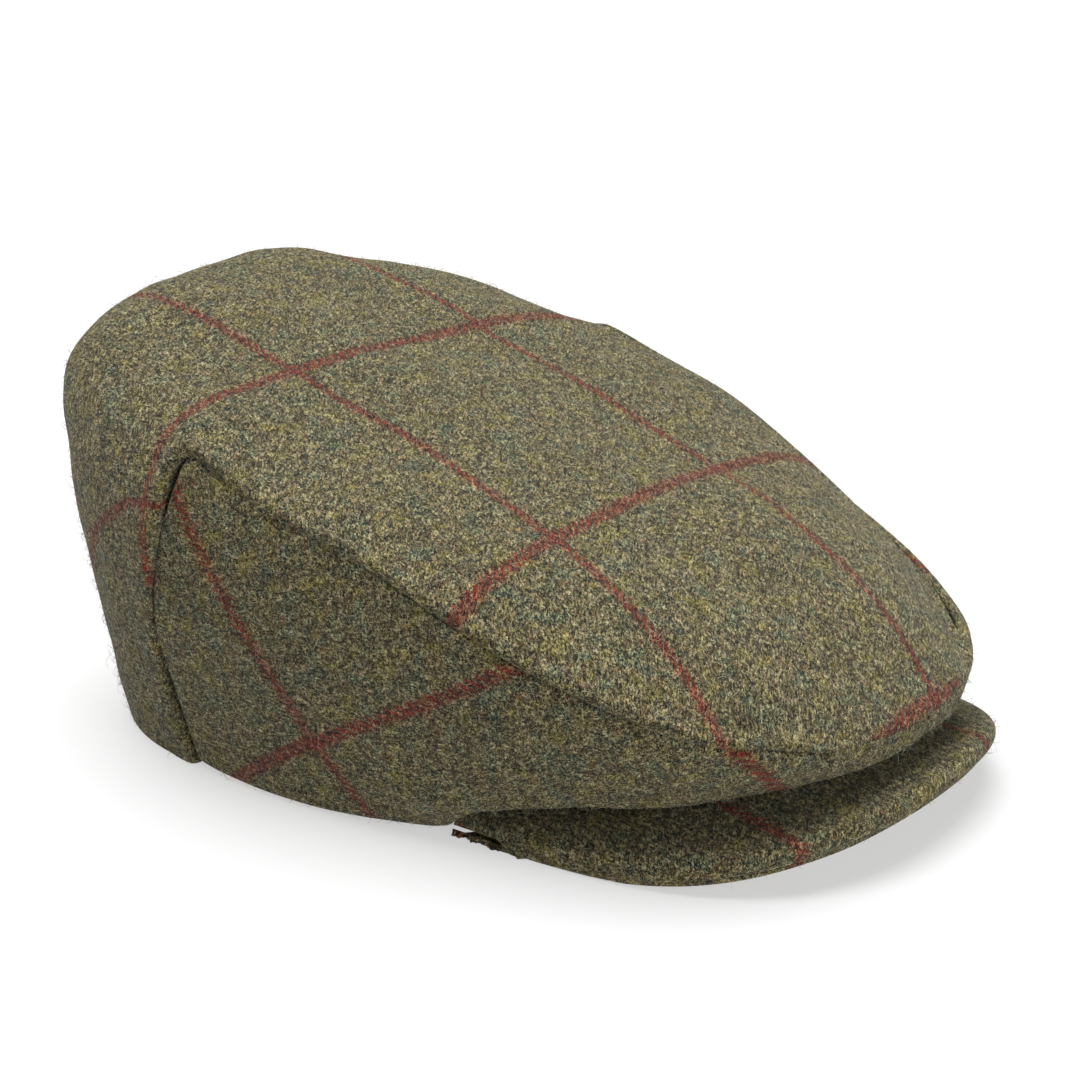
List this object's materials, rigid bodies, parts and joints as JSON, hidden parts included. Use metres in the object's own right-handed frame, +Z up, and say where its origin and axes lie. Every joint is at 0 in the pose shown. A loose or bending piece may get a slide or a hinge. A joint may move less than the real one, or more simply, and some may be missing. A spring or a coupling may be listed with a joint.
{
  "type": "flat cap",
  "caption": "Tweed flat cap with a rounded three-panel crown falling forward over a short stiff peak, lined inside with a sweatband round the head opening.",
  "frame": {"origin": "centre of the head opening, on the plane that the cap rests on", "axes": "+Z up out of the crown, -Y towards the tip of the peak, -X towards the wearer's right"},
  "size_m": [0.2028, 0.2724, 0.1232],
  "materials": {
    "tweed": "olive-grey wool tweed with a red windowpane check",
    "lining": "quilted satin",
    "wadding": "thin polyester wadding",
    "sweatband": "ribbed cotton band",
    "foam": "soft foam strip",
    "peak_board": "moulded flexible board",
    "label": "blank woven tape"
  },
  "bodies": {
    "root": {"top_panel": "tweed", "side_panel_right": "tweed", "side_panel_left": "tweed", "peak_upper_cover": "tweed", "peak_under_cover": "tweed", "peak_board": "peak_board", "top_wadding": "wadding", "side_wadding_right": "wadding", "side_wadding_left": "wadding", "top_lining": "lining", "side_lining_right": "lining", "side_lining_left": "lining", "sweatband": "sweatband", "forehead_foam": "foam", "maker_label": "label", "care_label": "label"}
  },
  "joints": []
}
